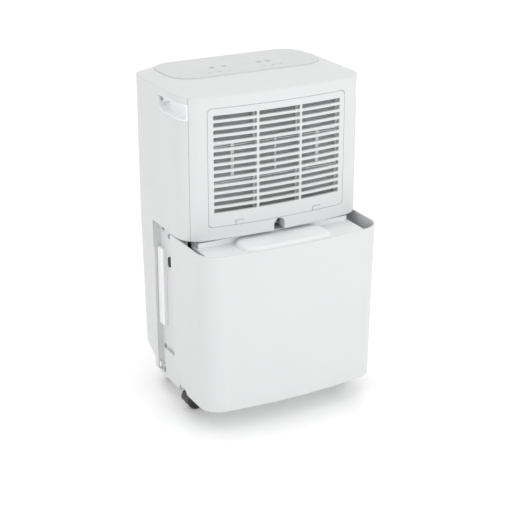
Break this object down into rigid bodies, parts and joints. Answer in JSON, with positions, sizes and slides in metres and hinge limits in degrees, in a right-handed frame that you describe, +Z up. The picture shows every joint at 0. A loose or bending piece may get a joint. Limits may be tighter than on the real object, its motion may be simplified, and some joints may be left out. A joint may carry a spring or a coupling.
{
  "type": "dehumidifier",
  "caption": "Upright room dehumidifier with a slatted air intake, raised touch deck, side hand recesses, pull-out water tank and swivel casters.",
  "frame": {"origin": "on the floor, under the middle of the whole object's box, with the tank drawn out by 72 mm", "axes": "+Z up; -Y is the side with the air intake and the water tank; +X is to the right of someone facing it"},
  "size_m": [0.35, 0.3019, 0.598],
  "materials": {
    "casing_white": "satin",
    "deck_white": "satin",
    "bay_white": "matt",
    "tank_white": "satin",
    "bucket_clear": "satin",
    "print_grey": "matt",
    "lamp_lens": "gloss",
    "filter_white": "matt",
    "filter_gauze": "woven",
    "fin_aluminium": "rolled",
    "tube_copper": "drawn",
    "sheet_steel": "zinc plated",
    "screw_steel": "plated",
    "compressor_black": "gloss enamel",
    "motor_steel": "matt",
    "fan_plastic": "matt",
    "board_green": "solder mask",
    "box_grey": "matt",
    "black_rubber": "matt",
    "caster_black": "satin",
    "float_white": "foam",
    "magnet_black": "sintered",
    "capacitor_can": "drawn"
  },
  "bodies": {
    "casing": {"rear_casing": "casing_white", "front_casing": "casing_white", "top_cover": "casing_white", "control_deck": "deck_white", "touch_marks": "print_grey", "indicator_lamps": "lamp_lens", "display_board": "board_green", "evaporator_fins": "fin_aluminium", "evaporator_coil": "tube_copper", "condenser_fins": "fin_aluminium", "condenser_coil": "tube_copper", "fan_housing": "box_grey", "fan_motor": "motor_steel", "motor_bracket": "sheet_steel", "outlet_grille": "casing_white", "left_handle": "casing_white", "right_handle": "casing_white", "tank_bay": "bay_white", "tank_guides": "casing_white", "tank_buffers": "black_rubber", "drip_tray": "filter_white", "drain_outlet": "bay_white", "base_tray": "bay_white", "compressor_stand": "sheet_steel", "compressor": "compressor_black", "compressor_grommets": "black_rubber", "accumulator": "compressor_black", "refrigerant_pipes": "tube_copper", "control_box": "box_grey", "power_board": "board_green", "capacitor": "capacitor_can", "capacitor_clamp": "sheet_steel", "humidity_sensor": "box_grey", "cord_gland": "black_rubber", "casing_screws": "screw_steel"},
    "tank": {"tank_cover": "tank_white", "tank_bucket": "bucket_clear", "tank_lid": "tank_white", "float_pin": "screw_steel"},
    "float": {"float_arm": "float_white", "float_magnet": "magnet_black"},
    "grille": {"intake_grille": "casing_white", "grille_clips": "casing_white", "filter_frame": "filter_white", "filter_mesh": "filter_gauze"},
    "fan": {"fan_wheel": "fan_plastic", "fan_shaft": "screw_steel"},
    "caster_front_left": {"caster_front_left_hood": "caster_black", "caster_front_left_pin": "screw_steel"},
    "wheels_front_left": {"caster_front_left_wheels": "caster_black"},
    "caster_front_right": {"caster_front_right_hood": "caster_black", "caster_front_right_pin": "screw_steel"},
    "wheels_front_right": {"caster_front_right_wheels": "caster_black"},
    "caster_rear_left": {"caster_rear_left_hood": "caster_black", "caster_rear_left_pin": "screw_steel"},
    "wheels_rear_left": {"caster_rear_left_wheels": "caster_black"},
    "caster_rear_right": {"caster_rear_right_hood": "caster_black", "caster_rear_right_pin": "screw_steel"},
    "wheels_rear_right": {"caster_rear_right_wheels": "caster_black"}
  },
  "joints": [
    {"name": "tank_slide", "type": "slide", "parent": "casing", "child": "tank", "axis": [0, -1, 0], "range_m": [-0.0715, 0.08]},
    {"name": "float_lift", "type": "hinge", "parent": "tank", "child": "float", "pos_m": [0.092, -0.05, 0.284], "axis": [0, 1, 0], "range_deg": [0, 15]},
    {"name": "grille_pull", "type": "slide", "parent": "casing", "child": "grille", "axis": [0, -1, 0], "range_m": [0, 0.05]},
    {"name": "fan_spin", "type": "hinge", "parent": "casing", "child": "fan", "pos_m": [0, 0.046, 0.472], "axis": [0, -1, 0], "continuous": true},
    {"name": "swivel_front_left", "type": "hinge", "parent": "casing", "child": "caster_front_left", "pos_m": [-0.141, -0.03, 0.037], "axis": [0, 0, 1], "continuous": true},
    {"name": "roll_front_left", "type": "hinge", "parent": "caster_front_left", "child": "wheels_front_left", "pos_m": [-0.147, -0.03, 0.017], "axis": [0, 1, 0], "continuous": true},
    {"name": "swivel_front_right", "type": "hinge", "parent": "casing", "child": "caster_front_right", "pos_m": [0.141, -0.03, 0.037], "axis": [0, 0, 1], "continuous": true},
    {"name": "roll_front_right", "type": "hinge", "parent": "caster_front_right", "child": "wheels_front_right", "pos_m": [0.147, -0.03, 0.017], "axis": [0, 1, 0], "continuous": true},
    {"name": "swivel_rear_left", "type": "hinge", "parent": "casing", "child": "caster_rear_left", "pos_m": [-0.125, 0.093, 0.037], "axis": [0, 0, 1], "continuous": true},
    {"name": "roll_rear_left", "type": "hinge", "parent": "caster_rear_left", "child": "wheels_rear_left", "pos_m": [-0.131, 0.093, 0.017], "axis": [0, 1, 0], "continuous": true},
    {"name": "swivel_rear_right", "type": "hinge", "parent": "casing", "child": "caster_rear_right", "pos_m": [0.125, 0.093, 0.037], "axis": [0, 0, 1], "continuous": true},
    {"name": "roll_rear_right", "type": "hinge", "parent": "caster_rear_right", "child": "wheels_rear_right", "pos_m": [0.131, 0.093, 0.017], "axis": [0, 1, 0], "continuous": true}
  ]
}
